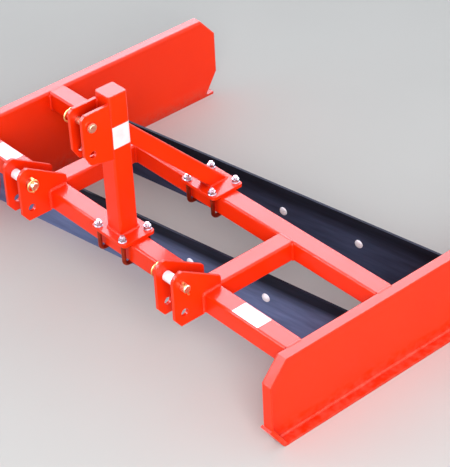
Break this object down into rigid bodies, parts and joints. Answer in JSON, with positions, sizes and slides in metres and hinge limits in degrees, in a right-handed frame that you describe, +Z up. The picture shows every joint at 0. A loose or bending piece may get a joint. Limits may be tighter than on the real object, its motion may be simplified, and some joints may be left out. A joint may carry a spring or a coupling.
{
  "type": "land plane",
  "caption": "Towed levelling frame for a three-point hitch: two end plates on skids, square-tube frame, mast with brace, and two skewed curved blades.",
  "frame": {"origin": "on the ground under the skids, half way between the end plates and half way along the machine", "axes": "+X to the right for a driver who looks back at it from the tractor, along the frame tubes; +Y towards the rear; +Z up"},
  "size_m": [1.8288, 1.34, 0.907],
  "materials": {
    "frame_red": "gloss orange-red paint",
    "blade_black": "satin black paint",
    "zinc_plate": "bright zinc plating",
    "yellow_zinc": "yellow zinc plating"
  },
  "bodies": {
    "frame": {"brace_foot_plate": "frame_red", "brace_left_u_bolt": "zinc_plate", "brace_nuts": "zinc_plate", "brace_right_u_bolt": "zinc_plate", "brace_tube": "frame_red", "front_blade": "blade_black", "front_blade_beam": "frame_red", "front_tube": "frame_red", "left_end_plate": "frame_red", "left_frame_rail": "frame_red", "left_hitch_inner_ear": "frame_red", "left_hitch_outer_ear": "frame_red", "left_skid_shoe": "frame_red", "left_top_link_lug": "frame_red", "mast_cap": "frame_red", "mast_foot_plate": "frame_red", "mast_left_u_bolt": "zinc_plate", "mast_nuts": "zinc_plate", "mast_right_u_bolt": "zinc_plate", "mast_tube": "frame_red", "rear_blade": "blade_black", "rear_blade_beam": "frame_red", "rear_tube": "frame_red", "right_end_plate": "frame_red", "right_frame_rail": "frame_red", "right_hitch_inner_ear": "frame_red", "right_hitch_outer_ear": "frame_red", "right_skid_shoe": "frame_red", "right_top_link_lug": "frame_red"},
    "left_hitch_pin": {"left_hitch_pin": "zinc_plate", "left_hitch_pin_cross_bar": "yellow_zinc", "left_linch_pin": "yellow_zinc"},
    "right_hitch_pin": {"right_hitch_pin": "zinc_plate", "right_hitch_pin_cross_bar": "yellow_zinc", "right_linch_pin": "yellow_zinc"},
    "left_bushing": {"left_hitch_bushing": "zinc_plate"},
    "right_bushing": {"right_hitch_bushing": "zinc_plate"},
    "top_link_pin": {"top_link_pin": "zinc_plate", "top_linch_pin": "yellow_zinc"}
  },
  "joints": [
    {"name": "left_hitch_pin_turn", "type": "hinge", "parent": "frame", "child": "left_hitch_pin", "pos_m": [-0.38745, -0.629, 0.425], "axis": [1, 0, 0], "continuous": true},
    {"name": "right_hitch_pin_turn", "type": "hinge", "parent": "frame", "child": "right_hitch_pin", "pos_m": [0.43825, -0.629, 0.425], "axis": [1, 0, 0], "continuous": true},
    {"name": "left_bushing_spin", "type": "hinge", "parent": "left_hitch_pin", "child": "left_bushing", "pos_m": [-0.38745, -0.629, 0.425], "axis": [1, 0, 0], "continuous": true},
    {"name": "right_bushing_spin", "type": "hinge", "parent": "right_hitch_pin", "child": "right_bushing", "pos_m": [0.43825, -0.629, 0.425], "axis": [1, 0, 0], "continuous": true},
    {"name": "top_link_pin_turn", "type": "hinge", "parent": "frame", "child": "top_link_pin", "pos_m": [0.0254, -0.629, 0.834], "axis": [1, 0, 0], "continuous": true}
  ]
}
